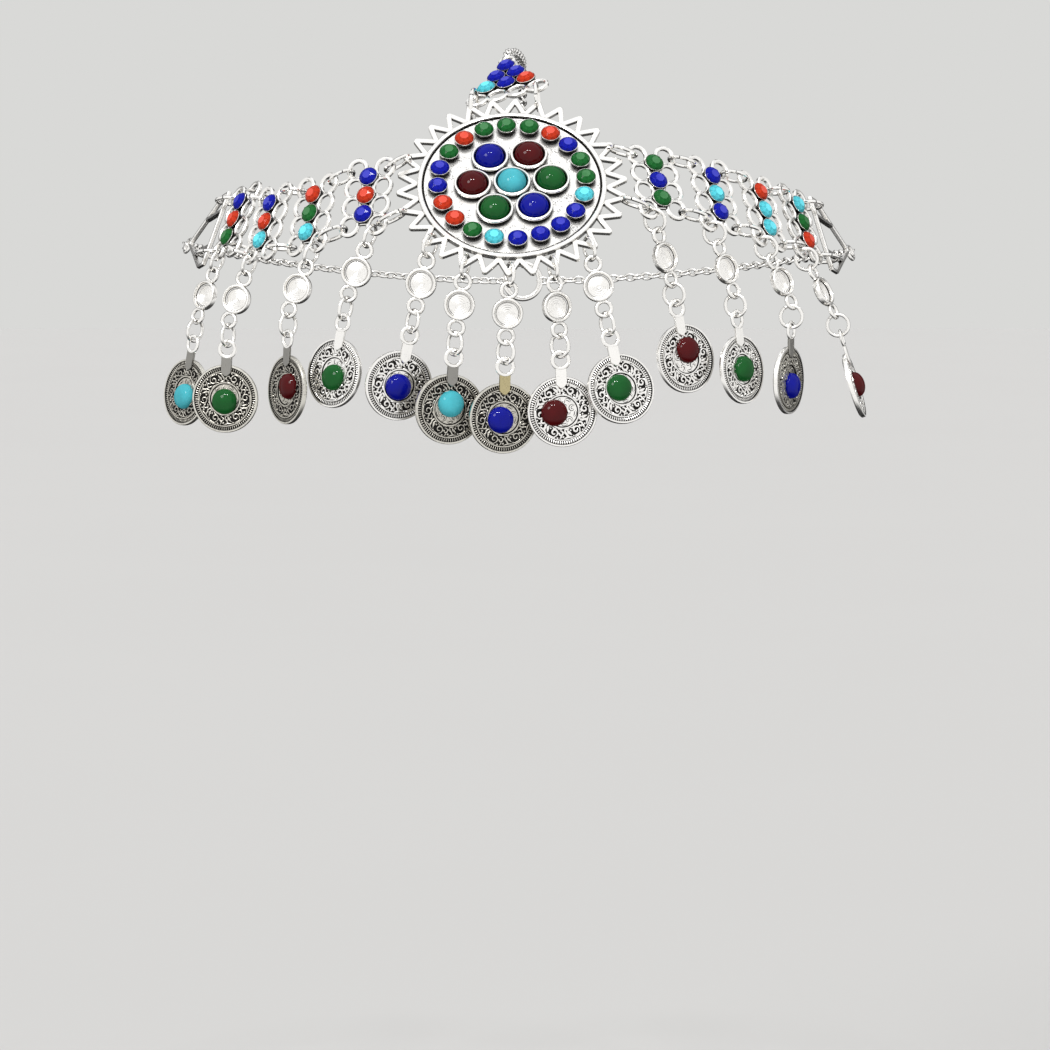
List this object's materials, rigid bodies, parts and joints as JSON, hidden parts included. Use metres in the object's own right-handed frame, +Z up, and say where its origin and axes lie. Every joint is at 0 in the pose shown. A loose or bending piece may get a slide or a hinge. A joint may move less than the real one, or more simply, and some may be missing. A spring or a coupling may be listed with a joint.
{
  "type": "coin head chain",
  "caption": "Worn head chain: round sunburst medallion over the brow, jewelled cast links each side, a crown link, coin drops on jump rings, and chains over and round the head.",
  "frame": {"origin": "top of the head hollow, under the crown chain and midway between the sides", "axes": "+X to the viewer's right when facing the medallion, +Y to the back of the head, +Z up"},
  "size_m": [0.1801, 0.1975, 0.0999],
  "materials": {
    "medallion_setting": "cast silver-toned metal, bright edges and blackened recesses",
    "cabochon_center": "polished dome, glass-like",
    "cabochon_1": "polished dome, glass-like",
    "cabochon_2": "polished dome, glass-like",
    "cabochon_3": "polished dome, glass-like",
    "cabochon_4": "polished dome, glass-like",
    "cabochon_5": "polished dome, glass-like",
    "cabochon_6": "polished dome, glass-like",
    "band_link_left_1": "cast silver-toned metal, bright edges and blackened recesses",
    "band_link_left_2": "cast silver-toned metal, bright edges and blackened recesses",
    "band_link_left_3": "cast silver-toned metal, bright edges and blackened recesses",
    "band_link_left_4": "cast silver-toned metal, bright edges and blackened recesses",
    "band_link_right_1": "cast silver-toned metal, bright edges and blackened recesses",
    "band_link_right_2": "cast silver-toned metal, bright edges and blackened recesses",
    "band_link_right_3": "cast silver-toned metal, bright edges and blackened recesses",
    "band_link_right_4": "cast silver-toned metal, bright edges and blackened recesses",
    "crown_link": "cast silver-toned metal, bright edges and blackened recesses",
    "end_link_left": "cast silver-toned metal, bright edges and blackened recesses",
    "end_link_right": "cast silver-toned metal, bright edges and blackened recesses",
    "hanger_front_1": "cast silver-toned metal, bright edges and blackened recesses",
    "hanger_front_2": "cast silver-toned metal, bright edges and blackened recesses",
    "hanger_front_3": "cast silver-toned metal, bright edges and blackened recesses",
    "hanger_front_4": "cast silver-toned metal, bright edges and blackened recesses",
    "hanger_front_5": "cast silver-toned metal, bright edges and blackened recesses",
    "hanger_left_1": "cast silver-toned metal, bright edges and blackened recesses",
    "hanger_left_2": "cast silver-toned metal, bright edges and blackened recesses",
    "hanger_left_3": "cast silver-toned metal, bright edges and blackened recesses",
    "hanger_left_4": "cast silver-toned metal, bright edges and blackened recesses",
    "hanger_right_1": "cast silver-toned metal, bright edges and blackened recesses",
    "hanger_right_2": "cast silver-toned metal, bright edges and blackened recesses",
    "hanger_right_3": "cast silver-toned metal, bright edges and blackened recesses",
    "hanger_right_4": "cast silver-toned metal, bright edges and blackened recesses",
    "coin_front_1": "antiqued silver-toned metal, dark in the recesses",
    "coin_front_2": "darker grey antiqued metal, raised ornament",
    "coin_front_3": "darker grey antiqued metal, raised ornament",
    "coin_front_4": "antiqued silver-toned metal, dark in the recesses",
    "coin_front_5": "antiqued silver-toned metal, dark in the recesses",
    "coin_left_1": "antiqued silver-toned metal, dark in the recesses",
    "coin_left_2": "antiqued silver-toned metal, dark in the recesses",
    "coin_left_3": "antiqued silver-toned metal, dark in the recesses",
    "coin_left_4": "antiqued silver-toned metal, dark in the recesses",
    "coin_right_1": "antiqued silver-toned metal, dark in the recesses",
    "coin_right_2": "antiqued silver-toned metal, dark in the recesses",
    "coin_right_3": "antiqued silver-toned metal, dark in the recesses",
    "coin_right_4": "antiqued silver-toned metal, dark in the recesses",
    "crown_chain": "plain silver-toned wire",
    "back_chain_left": "plain silver-toned wire",
    "back_chain_right": "plain silver-toned wire",
    "clasp": "plain silver-toned wire"
  },
  "bodies": {
    "root": {"medallion_setting": "medallion_setting", "cabochon_center": "cabochon_center", "cabochon_1": "cabochon_1", "cabochon_2": "cabochon_2", "cabochon_3": "cabochon_3", "cabochon_4": "cabochon_4", "cabochon_5": "cabochon_5", "cabochon_6": "cabochon_6", "band_link_left_1": "band_link_left_1", "band_link_left_2": "band_link_left_2", "band_link_left_3": "band_link_left_3", "band_link_left_4": "band_link_left_4", "band_link_right_1": "band_link_right_1", "band_link_right_2": "band_link_right_2", "band_link_right_3": "band_link_right_3", "band_link_right_4": "band_link_right_4", "crown_link": "crown_link", "end_link_left": "end_link_left", "end_link_right": "end_link_right", "hanger_front_1": "hanger_front_1", "hanger_front_2": "hanger_front_2", "hanger_front_3": "hanger_front_3", "hanger_front_4": "hanger_front_4", "hanger_front_5": "hanger_front_5", "hanger_left_1": "hanger_left_1", "hanger_left_2": "hanger_left_2", "hanger_left_3": "hanger_left_3", "hanger_left_4": "hanger_left_4", "hanger_right_1": "hanger_right_1", "hanger_right_2": "hanger_right_2", "hanger_right_3": "hanger_right_3", "hanger_right_4": "hanger_right_4", "coin_front_1": "coin_front_1", "coin_front_2": "coin_front_2", "coin_front_3": "coin_front_3", "coin_front_4": "coin_front_4", "coin_front_5": "coin_front_5", "coin_left_1": "coin_left_1", "coin_left_2": "coin_left_2", "coin_left_3": "coin_left_3", "coin_left_4": "coin_left_4", "coin_right_1": "coin_right_1", "coin_right_2": "coin_right_2", "coin_right_3": "coin_right_3", "coin_right_4": "coin_right_4", "crown_chain": "crown_chain", "back_chain_left": "back_chain_left", "back_chain_right": "back_chain_right", "clasp": "clasp"}
  },
  "joints": []
}
